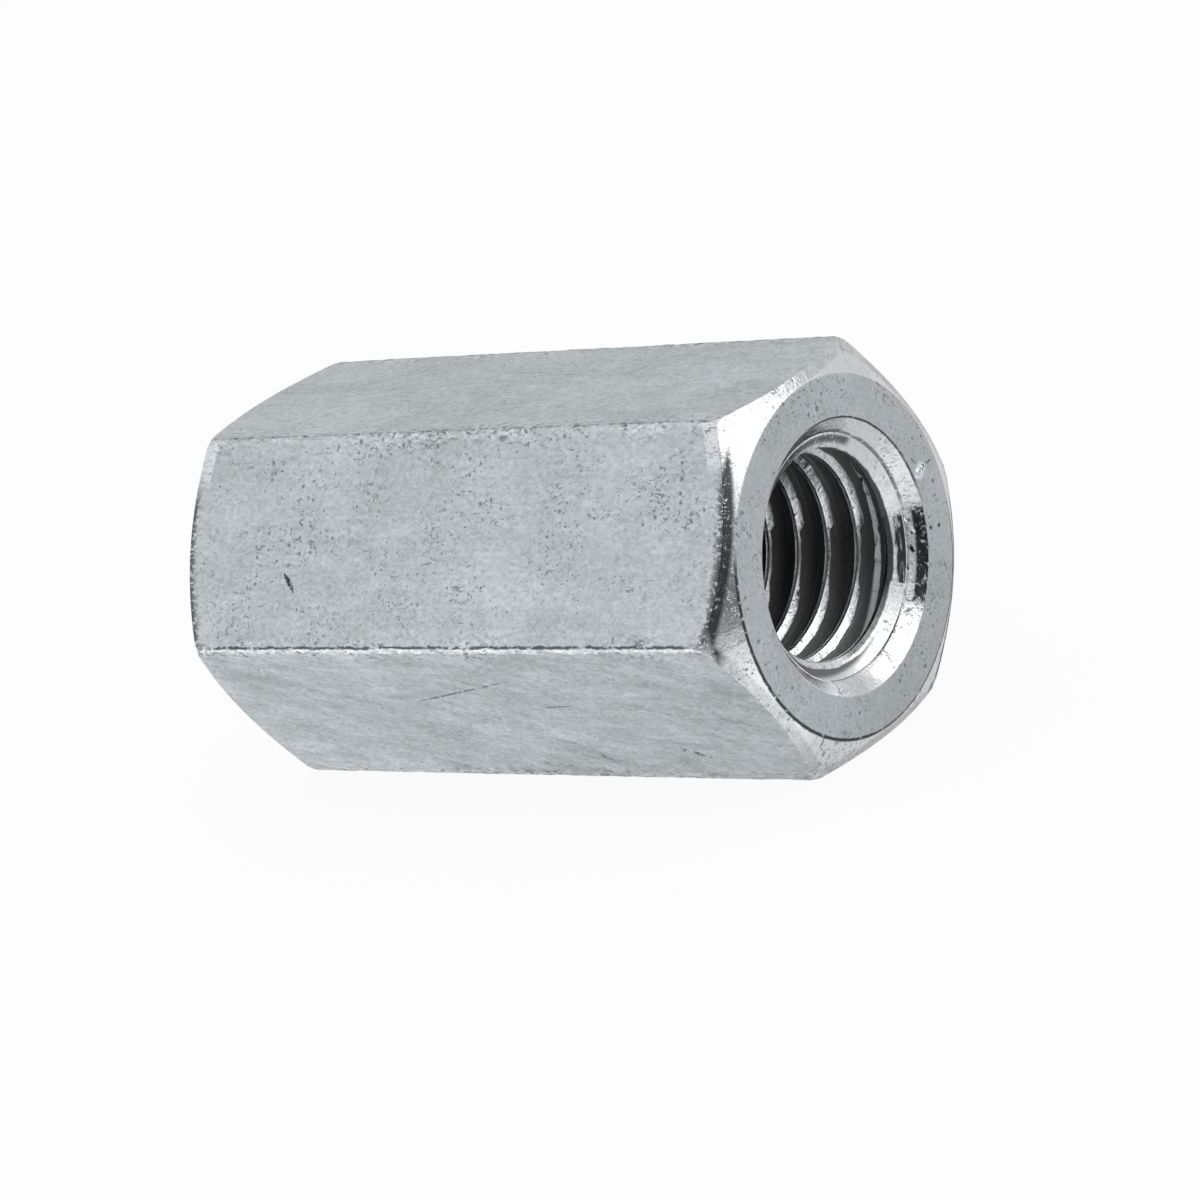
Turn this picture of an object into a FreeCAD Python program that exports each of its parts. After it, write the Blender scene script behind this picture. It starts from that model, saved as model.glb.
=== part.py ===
# Long hexagon coupling nut for an M8 thread, lying on one of its flats.
# X runs along the thread axis, Z points up from the flat it lies on,
# and the origin is the middle of the nut on that axis. All sizes are in millimetres.
import FreeCAD, Part
import math
import os

from FreeCAD import Vector

# Hexagon bar
across_flats = 12.8
nut_length = 24.0
corner_rounding = 0.2

# Turned ends: the cone starts this far inside the flats and leans this much from the end plane
end_face_inset = 0.4
chamfer_angle = 30.0

# Tapped bore: the wall is the minor diameter, the thread cuts this much deeper all round
minor_diameter = 6.9
thread_depth = 0.65

# Two-step countersink: a 90 degree mouth outside the thread, then a 120 degree lead-in to the bore
mouth_width = 0.5
mouth_angle = 90.0
lead_in_angle = 120.0

# Cutting and turning profiles run past the bar by this much
overrun = 1.0

HEX_SIDES = 6
LAY_ON_FLAT = 30.0
X_AXIS = Vector(1, 0, 0)
CENTRE = Vector(0, 0, 0)


def hexagon_bar():
    """Drawn hexagon bar with its six long edges slightly rounded, two flats level."""
    corner = across_flats / 2 / math.cos(math.pi / HEX_SIDES)
    points = []
    for step in range(HEX_SIDES + 1):
        angle = math.radians(LAY_ON_FLAT + 90.0 + 360.0 * step / HEX_SIDES)
        points.append(Vector(-nut_length / 2, corner * math.cos(angle), corner * math.sin(angle)))
    section = Part.Face(Part.makePolygon(points))
    bar = section.extrude(X_AXIS * nut_length)
    long_edges = [edge for edge in bar.Edges if abs(edge.Length - nut_length) < 1e-6]
    return bar.makeFillet(corner_rounding, long_edges)


def revolved(profile):
    """Solid turned about the thread axis from points given as (along the axis, radius)."""
    points = [Vector(along, radius, 0) for along, radius in profile]
    face = Part.Face(Part.makePolygon(points + points[:1]))
    return face.revolve(CENTRE, X_AXIS, 360)


def turned_envelope():
    """Bar stock with a cone at each end, which leaves the round end faces on the hexagon."""
    face_radius = across_flats / 2 - end_face_inset
    outside = across_flats / 2 / math.cos(math.pi / HEX_SIDES) + overrun
    end = nut_length / 2
    shoulder = end - (outside - face_radius) * math.tan(math.radians(chamfer_angle))
    return revolved([(-end, 0), (-end, face_radius), (-shoulder, outside),
                     (shoulder, outside), (end, face_radius), (end, 0)])


def tapping_bore():
    """Bore at the minor diameter with its two-step countersink at both ends."""
    bore = minor_diameter / 2
    thread_root = bore + thread_depth
    mouth = thread_root + mouth_width
    end = nut_length / 2
    mouth_slope = math.tan(math.radians(mouth_angle / 2))
    lead_in_slope = math.tan(math.radians(lead_in_angle / 2))
    step = end - mouth_width / mouth_slope
    throat = step - thread_depth / lead_in_slope
    past = end + overrun
    wide = mouth + overrun * mouth_slope
    return revolved([(-past, 0), (-past, wide), (-step, thread_root), (-throat, bore),
                     (throat, bore), (step, thread_root), (past, wide), (past, 0)])


def coupling_nut():
    """One-piece nut: hexagon bar, turned at both ends, bored and countersunk right through."""
    turned = hexagon_bar().common(turned_envelope())
    return turned.cut(tapping_bore()).removeSplitter().Solids[0]


def main():
    """Write the nut's solid."""
    os.makedirs("parts", exist_ok=True)
    nut = coupling_nut()
    nut.exportStep("parts/coupling_nut.step")
    print("coupling_nut valid", nut.isValid(), "volume", round(nut.Volume, 3), "faces", len(nut.Faces))
    box = nut.BoundBox
    print("box", [round(v, 4) for v in (box.XMin, box.YMin, box.ZMin, box.XMax, box.YMax, box.ZMax)])


main()
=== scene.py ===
"""Long hexagon coupling nut, tapped right through, drawn, turned, plated and a little knocked about."""

import logging
import math
import random
from dataclasses import dataclass
from dataclasses import field
from enum import Enum
from typing import Any
from typing import Callable
from typing import Sequence

import bmesh
import bpy
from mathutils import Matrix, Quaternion
from mathutils import Vector


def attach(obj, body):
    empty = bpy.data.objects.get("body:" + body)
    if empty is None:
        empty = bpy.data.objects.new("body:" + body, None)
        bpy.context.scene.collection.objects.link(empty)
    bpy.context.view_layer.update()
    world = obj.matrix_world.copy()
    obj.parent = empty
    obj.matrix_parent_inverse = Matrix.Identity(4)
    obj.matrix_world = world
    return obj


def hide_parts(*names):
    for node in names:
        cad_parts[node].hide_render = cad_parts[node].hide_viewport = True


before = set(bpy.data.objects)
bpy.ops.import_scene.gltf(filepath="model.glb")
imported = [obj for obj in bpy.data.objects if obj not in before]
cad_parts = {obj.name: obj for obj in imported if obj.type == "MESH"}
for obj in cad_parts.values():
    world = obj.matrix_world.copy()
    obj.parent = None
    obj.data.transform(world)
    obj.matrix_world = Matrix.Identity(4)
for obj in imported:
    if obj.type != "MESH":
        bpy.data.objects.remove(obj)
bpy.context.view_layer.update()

log = logging.getLogger("coupling_nut")

MM = 0.001
FULL_TURN = 2 * math.pi
NODE = "coupling_nut"
BODY = "root"

Point = tuple[float, float, float]
Colour = tuple[float, float, float]
Profile = Sequence[tuple[float, float]]
Piece = bpy.types.Object

# Angles of the corners and of the flats, in degrees from the Y axis
CORNERS = (0.0, 60.0, 120.0)
SIDES = (90.0, 30.0, 150.0)

# Radius at which an angle round the axis becomes a distance, and how near two points are one
ROLLING_RADIUS = 4.2
SAME_POINT = 0.0001


def spoke(angle: float) -> Point:
    """Unit vector square to the thread axis, at an angle in degrees from the Y axis."""
    turned = math.radians(angle)
    return 0.0, math.cos(turned), math.sin(turned)


def towards(azimuth: float, elevation: float) -> Point:
    """Unit vector towards an azimuth from the X axis and an elevation, both in degrees."""
    turned = math.radians(azimuth)
    raised = math.radians(elevation)
    return math.cos(turned) * math.cos(raised), math.sin(turned) * math.cos(raised), math.sin(raised)


class Pick(Enum):
    """What a selection in edit mode is made of."""

    VERTS = "VERT"
    EDGES = "EDGE"
    FACES = "FACE"


class Cut(Enum):
    """How one solid works on another."""

    KEEP_COMMON = "INTERSECT"
    TAKE_AWAY = "DIFFERENCE"


class Skin(Enum):
    """The surfaces of the nut that are finished apart, in the order of its material slots."""

    FLAT = 0
    RING = 1
    CONE = 2
    MOUTH = 3
    THREAD = 4


class Bench:
    """Modelling steps shared by the nut and its cutting tools, all in millimetres."""

    @staticmethod
    def clear() -> None:
        """Leave edit mode and drop the whole selection."""
        active = bpy.context.object
        if active and active.mode != "OBJECT":
            Bench.leave()
        bpy.ops.object.select_all(action="DESELECT")

    @staticmethod
    def leave() -> None:
        """Leave edit mode."""
        bpy.ops.object.mode_set(mode="OBJECT")

    @staticmethod
    def take(piece: Piece) -> None:
        """Select one piece alone and make it the active one.

        Args:
            piece: The object to work on.
        """
        Bench.clear()
        piece.select_set(True)
        bpy.context.view_layer.objects.active = piece

    @staticmethod
    def edit(piece: Piece) -> None:
        """Open one piece alone in edit mode."""
        Bench.take(piece)
        bpy.ops.object.mode_set(mode="EDIT")

    @staticmethod
    def pick(piece: Piece, kind: Pick, test: Callable[[Any], bool]) -> int:
        """Select, in edit mode, the elements that pass a test.

        Args:
            piece: The object that is open in edit mode.
            kind: Whether vertices, edges or faces are tested.
            test: Says whether one bmesh element is wanted.

        Returns:
            How many elements are selected.
        """
        bpy.ops.mesh.select_mode(type=kind.value)
        bpy.ops.mesh.select_all(action="DESELECT")
        shape = bmesh.from_edit_mesh(piece.data)
        elements = {Pick.VERTS: shape.verts, Pick.EDGES: shape.edges, Pick.FACES: shape.faces}[kind]
        wanted = [element for element in elements if test(element)]
        for element in wanted:
            element.select_set(True)
        bmesh.update_edit_mesh(piece.data)
        return len(wanted)

    @staticmethod
    def line(name: str, points: Profile) -> Piece:
        """Draw an open line of points beside the thread axis, and leave it in edit mode.

        Args:
            name: The new object's name.
            points: Each point as its place along the axis and its radius.

        Returns:
            The object, with its last point selected.
        """
        Bench.clear()
        along, radius = points[0]
        bpy.ops.mesh.primitive_plane_add(size=1, location=(along, radius, 0))
        piece = bpy.context.object
        piece.name = name
        bpy.ops.object.transform_apply(location=True)
        bpy.ops.object.mode_set(mode="EDIT")
        bpy.ops.mesh.select_mode(type=Pick.VERTS.value)
        bpy.ops.mesh.select_all(action="SELECT")
        bpy.ops.mesh.merge(type="CENTER")
        for (here, low), (there, high) in zip(points, points[1:]):
            step = (there - here, high - low, 0)
            bpy.ops.mesh.extrude_region_move(TRANSFORM_OT_translate={"value": step})
        return piece

    @staticmethod
    def turn(name: str, points: Profile, steps: int) -> Piece:
        """Turn a line of points about the thread axis into a closed solid.

        Args:
            name: The new object's name.
            points: Each point as its place along the axis and its radius, ending on the axis.
            steps: How many sides the turned surface has.

        Returns:
            The turned solid.
        """
        piece = Bench.line(name, points)
        bpy.ops.mesh.select_all(action="SELECT")
        bpy.ops.mesh.spin(steps=steps, angle=FULL_TURN, center=(0, 0, 0), axis=(1, 0, 0))
        Bench.close(SAME_POINT)
        Bench.leave()
        return piece

    @staticmethod
    def face_outwards() -> None:
        """Turn every face of the piece in edit mode outwards."""
        bpy.ops.mesh.select_all(action="SELECT")
        bpy.ops.mesh.normals_make_consistent(inside=False)

    @staticmethod
    def round_edges(offset: float, facets: int) -> None:
        """Round the selected edges of the piece in edit mode."""
        bpy.ops.mesh.bevel(offset=offset, segments=facets, affect="EDGES", clamp_overlap=False)

    @staticmethod
    def close(threshold: float) -> None:
        """Merge doubled points of the piece in edit mode and turn its faces outwards.

        Args:
            threshold: How near two points are to be one.
        """
        bpy.ops.mesh.select_mode(type=Pick.VERTS.value)
        bpy.ops.mesh.select_all(action="SELECT")
        bpy.ops.mesh.remove_doubles(threshold=threshold)
        Bench.face_outwards()

    @staticmethod
    def modify(piece: Piece, kind: str, **settings: Any) -> None:
        """Add one modifier to a piece and apply it.

        Args:
            piece: The object to work on.
            kind: The modifier's type.
            **settings: The modifier's properties.
        """
        Bench.take(piece)
        bpy.ops.object.modifier_add(type=kind)
        modifier = piece.modifiers[-1]
        for name, value in settings.items():
            setattr(modifier, name, value)
        bpy.ops.object.modifier_apply(modifier=modifier.name)

    @staticmethod
    def cut(piece: Piece, tool: Piece, way: Cut) -> None:
        """Let a tool work on a piece, and throw the tool away."""
        Bench.modify(piece, "BOOLEAN", operation=way.value, object=tool, solver="EXACT")
        bpy.data.objects.remove(tool, do_unlink=True)


@dataclass
class HexagonBar:
    """Drawn hexagon bar that lies on one of its flats, with worn long edges."""

    across_flats: float = 12.8
    length: float = 24.0
    corner_rounding: float = 0.2
    corner_facets: int = 4
    lengthwise_cuts: int = 239
    worn_to: float = 10.7
    wear: float = 0.012
    dents: int = 36
    dent_reach: tuple[float, float] = (0.12, 0.45)
    dent_depth: float = 0.05
    worn_share: float = 0.22
    seed: int = 11

    @property
    def corner_radius(self) -> float:
        """Distance from the axis to a corner before it is rounded."""
        return self.across_flats / 2 / math.cos(math.pi / 6)

    def build(self) -> Piece:
        """Draw the bar and wear its long edges.

        Returns:
            The bar, along the X axis, with two corners level with the axis.
        """
        Bench.clear()
        bpy.ops.mesh.primitive_cylinder_add(
            vertices=6, radius=self.corner_radius, depth=self.length, rotation=(0, math.pi / 2, 0)
        )
        bar = bpy.context.object
        bar.name = "tapped_nut"
        bpy.ops.object.transform_apply(rotation=True)
        bpy.ops.object.mode_set(mode="EDIT")
        Bench.pick(bar, Pick.EDGES, self.runs_lengthwise)
        Bench.round_edges(self.corner_rounding * math.tan(math.pi / 6), self.corner_facets)
        Bench.pick(bar, Pick.EDGES, self.runs_lengthwise)
        bpy.ops.mesh.subdivide(number_cuts=self.lengthwise_cuts)
        Bench.pick(bar, Pick.VERTS, self.is_worn)
        bpy.ops.transform.vertex_random(offset=self.wear, uniform=1.0, normal=0.0, seed=self.seed)
        self.dent_edges(bar)
        Bench.pick(bar, Pick.FACES, self.is_strip_of_flat)
        bpy.ops.mesh.dissolve_faces()
        Bench.leave()
        return bar

    def runs_lengthwise(self, edge: bmesh.types.BMEdge) -> bool:
        """Whether an edge runs the bar's whole length."""
        return abs(edge.verts[0].co.x - edge.verts[1].co.x) > self.length / 2

    def dent_edges(self, bar: Piece) -> None:
        """Press small dents into the rounding of the long edges.

        Args:
            bar: The bar, open in edit mode.
        """
        chance = random.Random(self.seed)
        for index in range(self.dents):
            outwards = Vector(spoke(60.0 * (index % 6)))
            middle = chance.uniform(-self.worn_to, self.worn_to)
            reach = chance.uniform(*self.dent_reach)
            depth = self.dent_depth * chance.uniform(0.5, 1.0)

            def is_struck(vert: bmesh.types.BMVert) -> bool:
                """Whether a point lies in this dent."""
                on_edge = vert.co.dot(outwards) > self.corner_radius - self.corner_rounding
                return on_edge and self.is_worn(vert) and abs(vert.co.x - middle) < reach

            if Bench.pick(bar, Pick.VERTS, is_struck):
                bpy.ops.transform.translate(value=outwards * -depth)

    def is_strip_of_flat(self, face: bmesh.types.BMFace) -> bool:
        """Whether a face is one of the strips that the lengthwise cuts made of a flat."""
        strip = self.across_flats * math.tan(math.pi / 6) * self.length / (self.lengthwise_cuts + 1)
        return abs(face.normal.x) < 0.5 and face.calc_area() > strip / 2

    def is_worn(self, vert: bmesh.types.BMVert) -> bool:
        """Whether a point lies on the rounding of a long edge, away from the ends."""
        radius = math.hypot(vert.co.y, vert.co.z)
        inside = self.corner_radius - radius < self.corner_rounding * self.worn_share
        return inside and abs(vert.co.x) < self.worn_to


@dataclass
class TurnedEnds:
    """Cone and round face turned on both ends of the bar, and the corners that wear took off."""

    bar: HexagonBar
    face_inset: float = 0.4
    chamfer_angle: float = 30.0
    overrun: float = 1.1
    corner_wear: float = 0.16
    worn_slopes: tuple[float, ...] = (48.0, 64.0, 78.0)
    corner_left: float = 0.03
    clearing: float = 0.3
    sides: int = 192

    @property
    def face_radius(self) -> float:
        """Radius of the round end face."""
        return self.bar.across_flats / 2 - self.face_inset

    @property
    def slope(self) -> float:
        """How far the cone runs back along the axis for each unit of radius."""
        return math.tan(math.radians(self.chamfer_angle))

    def outline(self) -> list[tuple[float, float]]:
        """Half of the turned outline, from the end face inwards."""
        along, radius = self.bar.length / 2, self.face_radius
        points = [(along, 0.0), (along, radius)]
        worn_from = self.bar.corner_radius - self.corner_wear
        along -= (worn_from - radius) * self.slope
        radius = worn_from
        points.append((along, radius))
        step = (self.corner_wear - self.corner_left) / len(self.worn_slopes)
        for slope in self.worn_slopes:
            along -= step * math.tan(math.radians(slope))
            radius += step
            points.append((along, radius))
        points.append((along - self.clearing, self.bar.corner_radius + self.overrun))
        return points

    def shape(self, bar: Piece) -> None:
        """Turn both ends of the bar.

        Args:
            bar: The hexagon bar.
        """
        half = self.outline()
        points = half + [(-along, radius) for along, radius in reversed(half)]
        envelope = Bench.turn("envelope", points, self.sides)
        Bench.cut(bar, envelope, Cut.KEEP_COMMON)


@dataclass
class TappedBore:
    """Two-step countersinks and the right-hand thread that runs through the nut."""

    bar: HexagonBar
    minor_radius: float = 3.45
    root_radius: float = 4.08
    step_radius: float = 4.1
    mouth_radius: float = 4.6
    pitch: float = 1.25
    crest_land: float = 0.15
    crest_place: float = 9.915
    crest_break: float = 0.035
    flank_angle: float = 30.0
    lead_in_angle: float = 60.0
    turns: int = 23
    turns_past_crest: int = 3
    steps: int = 128
    merged_within: float = 0.002
    overrun: float = 1.0
    sides: int = 192
    core_radius: float = 3.2
    tool_mark: float = 0.03
    mouth_break: float = 0.035

    @property
    def step_place(self) -> float:
        """How far along the axis the two countersinks meet."""
        return self.bar.length / 2 - (self.mouth_radius - self.step_radius)

    def lead_in(self, radius: float) -> float:
        """Place along the axis at which the 120 degree lead-in has a given radius."""
        slope = math.tan(math.radians(self.lead_in_angle))
        return self.step_place - (self.step_radius - radius) / slope

    def drill(self, nut: Piece) -> None:
        """Cut both countersinks, which leaves a core between them.

        Args:
            nut: The turned bar.
        """
        end = self.bar.length / 2
        past = end + self.overrun
        lip = self.mouth_break
        mark = self.tool_mark
        inner = self.step_radius - mark
        for side in (1, -1):
            points = [
                (past, 0),
                (past, self.mouth_radius + self.overrun),
                (end + 0.001, self.mouth_radius + lip * 1.5),
                (end - lip * 0.35, self.mouth_radius),
                (end - lip, self.mouth_radius - lip),
                (self.step_place + mark, self.step_radius + mark),
                (self.step_place - mark, self.step_radius + mark),
                (self.lead_in(inner), inner),
                (self.lead_in(self.core_radius), self.core_radius),
                (self.lead_in(self.core_radius), 0),
            ]
            turned = [(side * along, radius) for along, radius in points]
            tool = Bench.turn("countersink", turned, self.sides)
            Bench.cut(nut, tool, Cut.TAKE_AWAY)

    def tap(self, nut: Piece) -> None:
        """Cut the core out with a tap that leaves the thread.

        Args:
            nut: The countersunk nut.
        """
        flank = (self.root_radius - self.minor_radius) * math.tan(math.radians(self.flank_angle))
        half_land = self.crest_land / 2
        start = self.crest_place - (self.turns - self.turns_past_crest) * self.pitch
        ground = self.pitch - 2 * flank - self.crest_land
        profile = [
            (start, self.minor_radius),
            (start + half_land, self.minor_radius),
            (start + half_land + flank, self.root_radius),
            (start + half_land + flank + ground, self.root_radius),
            (start + half_land + 2 * flank + ground, self.minor_radius),
            (start + self.pitch, self.minor_radius),
        ]
        tap = Bench.line("tap", profile)
        Bench.pick(tap, Pick.VERTS, lambda vert: len(vert.link_edges) == 2)
        bpy.ops.mesh.bevel(offset=self.crest_break, segments=2, affect="VERTICES")
        sizes = {"screw_offset": self.pitch, "iterations": self.turns}
        Bench.modify(tap, "SCREW", axis="X", steps=self.steps, render_steps=self.steps, **sizes)
        Bench.edit(tap)
        Bench.close(self.merged_within)
        Bench.pick(tap, Pick.EDGES, lambda edge: edge.is_boundary)
        bpy.ops.mesh.fill_holes(sides=0)
        Bench.pick(tap, Pick.FACES, lambda face: len(face.verts) > 4)
        bpy.ops.mesh.poke()
        Bench.face_outwards()
        Bench.leave()
        Bench.cut(nut, tap, Cut.TAKE_AWAY)


@dataclass(frozen=True)
class Knock:
    """One dent left by handling, cut by a blunt point that was dragged from one place to another."""

    start: Point
    end: Point
    width: float
    depth: float
    seed: int = 1
    bluntness: float = 0.16

    def strike(self, nut: Piece) -> None:
        """Cut the dent into the nut.

        Args:
            nut: The turned and countersunk nut.
        """
        Bench.clear()
        bpy.ops.mesh.primitive_ico_sphere_add(subdivisions=3, radius=1.0)
        point = bpy.context.object
        bpy.ops.object.mode_set(mode="EDIT")
        bpy.ops.transform.vertex_random(offset=self.bluntness, uniform=1.0, normal=0.0, seed=self.seed)
        Bench.leave()
        start, end = Vector(self.start), Vector(self.end)
        drag = end - start
        point.location = (start + end) / 2
        point.rotation_mode = "QUATERNION"
        point.rotation_quaternion = drag.to_track_quat("X", "Z")
        point.scale = (drag.length / 2, self.width, self.depth)
        bpy.ops.object.transform_apply(location=True, rotation=True, scale=True)
        Bench.cut(nut, point, Cut.TAKE_AWAY)


@dataclass
class Handling:
    """The knocks that are deep enough to change the nut's shape."""

    knocks: tuple[Knock, ...] = (
        Knock((-7.20, -6.05, 2.35), (-6.70, -6.39, 1.76), 0.09, 0.10, 3),
        Knock((12.02, 4.66, 0.90), (12.02, 5.26, 1.09), 0.15, 0.12, 4),
        Knock((11.40, 4.10, -0.30), (11.70, 4.20, -1.00), 0.10, 0.10, 7),
        Knock((11.42, 3.95, -1.10), (11.66, 4.02, -1.75), 0.11, 0.09, 8),
        Knock((11.38, 3.72, -1.75), (11.60, 3.62, -2.40), 0.09, 0.08, 9),
    )

    def strike(self, nut: Piece) -> None:
        """Cut every knock into the turned and countersunk nut."""
        for knock in self.knocks:
            knock.strike(nut)


@dataclass(frozen=True)
class Cloud:
    """One kind of soft random field: its size along each axis in millimetres, and its make."""

    size: Point
    detail: float = 2.0
    warp: float = 0.0
    roughness: float = 0.55


class Field:
    """A number, colour or vector that changes over a surface. Expressions on it add Math nodes."""

    def __init__(self, desk: "Desk", socket: bpy.types.NodeSocket) -> None:
        """Wrap the output socket that carries the value in a desk's tree."""
        self.desk = desk
        self.socket = socket

    def other(self, output: Any) -> "Field":
        """Another output of the node that this field comes from."""
        return Field(self.desk, self.socket.node.outputs[output])

    def math(self, operation: str, *others: Any) -> "Field":
        """Result of one Math node on this field and further fields or plain numbers."""
        inputs = dict(enumerate((self, *others)))
        return self.desk.add("ShaderNodeMath", {"operation": operation}, inputs)

    def __add__(self, other: Any) -> "Field":
        """Sum."""
        return self.math("ADD", other)

    __radd__ = __add__

    def __mul__(self, other: Any) -> "Field":
        """Product."""
        return self.math("MULTIPLY", other)

    __rmul__ = __mul__

    def __sub__(self, other: Any) -> "Field":
        """Difference."""
        return self.math("SUBTRACT", other)

    def __rsub__(self, other: float) -> "Field":
        """Difference from a plain number."""
        return self.desk.add("ShaderNodeMath", {"operation": "SUBTRACT"}, {0: other, 1: self})

    def __truediv__(self, other: Any) -> "Field":
        """Quotient."""
        return self.math("DIVIDE", other)

    def __pow__(self, other: float) -> "Field":
        """Power."""
        return self.math("POWER", other)

    def __abs__(self) -> "Field":
        """Size without sign."""
        return self.math("ABSOLUTE")

    def most(self, other: Any) -> "Field":
        """The larger of two values."""
        return self.math("MAXIMUM", other)

    def least(self, other: Any) -> "Field":
        """The smaller of two values."""
        return self.math("MINIMUM", other)

    def sway(self, amount: float) -> "Field":
        """How far a random field lies from its middle value, as a share of an amount."""
        return (self - 0.5) * amount

    def ease(self, low: float, high: float) -> "Field":
        """Smooth step from 0 at one value to 1 at another.

        Args:
            low: Value that gives 0.
            high: Value that gives 1, which may be the smaller one.

        Returns:
            The stepped field.
        """
        if low > high:
            return 1 - self.ease(high, low)
        settings = {"interpolation_type": "SMOOTHSTEP"}
        inputs = {"Value": self, "From Min": low, "From Max": high}
        return self.desk.add("ShaderNodeMapRange", settings, inputs)

    def within(self, inner: float, outer: float) -> "Field":
        """Share that falls from 1 to 0 between two angles in degrees, where this is a cosine."""
        return self.ease(math.cos(math.radians(outer)), math.cos(math.radians(inner)))

    def over(self, below: Any, level: float) -> "Field":
        """A plain level where this share is 1, and what lies below where it is 0."""
        return below * (1 - self) + self * level

    def vector(self, operation: str, *others: Any, out: int = 0) -> "Field":
        """Result of one Vector Math node on this vector and others."""
        inputs = dict(enumerate((self, *others)))
        return self.desk.add("ShaderNodeVectorMath", {"operation": operation}, inputs, out)

    def dot(self, direction: Point) -> "Field":
        """How far this vector reaches in one direction."""
        return self.vector("DOT_PRODUCT", direction, out=1)

    def length(self) -> "Field":
        """How long this vector is."""
        return self.vector("LENGTH", out=1)

    def scaled(self, factors: Point) -> "Field":
        """This vector with each of its parts scaled by its own factor."""
        return self.vector("MULTIPLY", factors)

    def times(self, vector: Point) -> "Field":
        """A plain vector scaled as a whole by this number."""
        return self.desk.add("ShaderNodeVectorMath", {"operation": "SCALE"}, {0: vector, "Scale": self})

    def parts(self) -> tuple["Field", "Field", "Field"]:
        """The three parts of this vector."""
        first = self.desk.add("ShaderNodeSeparateXYZ", {}, {0: self})
        return first, first.other(1), first.other(2)

    def joined(self, second: Any, third: Any) -> "Field":
        """A vector of this number and two more."""
        return self.desk.add("ShaderNodeCombineXYZ", {}, {0: self, 1: second, 2: third})

    def furthest(self, angles: Sequence[float]) -> "Field":
        """How far this place reaches along the nearest of several spokes.

        Args:
            angles: The spokes' angles from the Y axis, in degrees.

        Returns:
            The largest of the distances along them, to either side of the axis.
        """
        first, *others = [abs(self.dot(spoke(angle))) for angle in angles]
        for reach in others:
            first = first.most(reach)
        return first

    def polar(self) -> tuple["Field", "Field", "Field", "Field"]:
        """This place as seen along the nut's axis.

        Returns:
            Distance along the axis, radius, angle round the axis in radians, and the three as a vector
            in which the angle has become a distance round the countersink.
        """
        along, across, up = self.parts()
        radius = across.joined(up, 0.0).length()
        angle = up.math("ARCTAN2", across)
        return along, radius, angle, radius.joined(angle * ROLLING_RADIUS, along)

    def shaken(self, size: float, amount: float) -> "Field":
        """This place moved about at random, so that what is laid on it gets ragged.

        Args:
            size: Size of the unevenness, in millimetres.
            amount: How far a place moves, in millimetres.

        Returns:
            The moved place.
        """
        noise = self.cloud(Cloud((size,) * 3, detail=1)).other("Color")
        return self.vector("ADD", noise.vector("MULTIPLY_ADD", (amount * 2,) * 3, (-amount,) * 3))

    def cloud(self, kind: Cloud) -> "Field":
        """Soft random field around 0.5 at this place.

        Args:
            kind: The field's size and make.

        Returns:
            The field.
        """
        inputs = {
            "Vector": self.scaled(tuple(1 / part for part in kind.size)),
            "Scale": 1.0,
            "Detail": kind.detail,
            "Roughness": kind.roughness,
            "Distortion": kind.warp,
        }
        return self.desk.add("ShaderNodeTexNoise", {"noise_dimensions": "3D"}, inputs)

    def cells(self, spacing: float) -> tuple["Field", "Field"]:
        """Points scattered over the flat map that this place lies on.

        Args:
            spacing: Mean spacing of the points, in millimetres.

        Returns:
            Distance from the nearest point in spacings, and that point's own random number.
        """
        inputs = {"Vector": self, "Scale": 1 / spacing, "Randomness": 1.0}
        settings = {"feature": "F1", "voronoi_dimensions": "2D"}
        near = self.desk.add("ShaderNodeTexVoronoi", settings, inputs, out="Distance")
        return near, self.desk.add("ShaderNodeSeparateColor", {}, {0: near.other("Color")})


class Desk:
    """A node tree under construction."""

    def __init__(self, tree: bpy.types.NodeTree) -> None:
        """Start with an empty tree."""
        self.tree = tree
        tree.nodes.clear()

    def add(self, kind: str, settings: dict[str, Any], inputs: dict[Any, Any], out: Any = 0) -> Field:
        """Add one node.

        Args:
            kind: The node's type.
            settings: Its properties, set before its sockets.
            inputs: Values or fields by socket name or number.
            out: Which output is wanted.

        Returns:
            The wanted output.
        """
        node = self.tree.nodes.new(kind)
        for name, value in settings.items():
            setattr(node, name, value)
        for name, value in inputs.items():
            if isinstance(value, Field):
                self.tree.links.new(value.socket, node.inputs[name])
            else:
                node.inputs[name].default_value = value
        return Field(self, node.outputs[out] if node.outputs else None)

    def mix(self, share: Any, first: Any, second: Any) -> Field:
        """Blend of two colours, with the share of the second one."""
        inputs = {0: share, 6: first, 7: second}
        return self.add("ShaderNodeMix", {"data_type": "RGBA"}, inputs, out=2)


# Brightness, dark cover of grime and painted shade, roughness and height of a surface
Looks = tuple[Field, Field, Field, Field]


class Spread(Enum):
    """How a flat pattern is laid over a surface."""

    ROUND_THE_BAR = "along the axis and round it"
    ACROSS_THE_END = "across the end, square to the axis"


@dataclass(frozen=True)
class Mark:
    """Something that handling or a tool left on the surface. Dark marks hold grime, and some of them
    are painted shade; shining marks are painted highlights.
    """

    width: float = 0.06
    depth: float = 0.8
    broken: float = 0.0
    painted_shine: bool = False
    crumbs: Cloud = Cloud((0.26, 0.2, 0.2), 4, 0.6)
    crumbs_from: float = 0.30

    def cover(self, place: Field) -> Field:
        """How strongly the mark covers a place: its depth on it, and 0 away from it."""
        raise NotImplementedError

    def crumbled(self, place: Field) -> Any:
        """Factor that breaks the mark up into pieces, few of them where it is much broken."""
        if not self.broken:
            return 1.0
        level = self.crumbs_from + self.broken * 0.3
        return place.cloud(self.crumbs).ease(level, level + 0.08)


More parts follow.
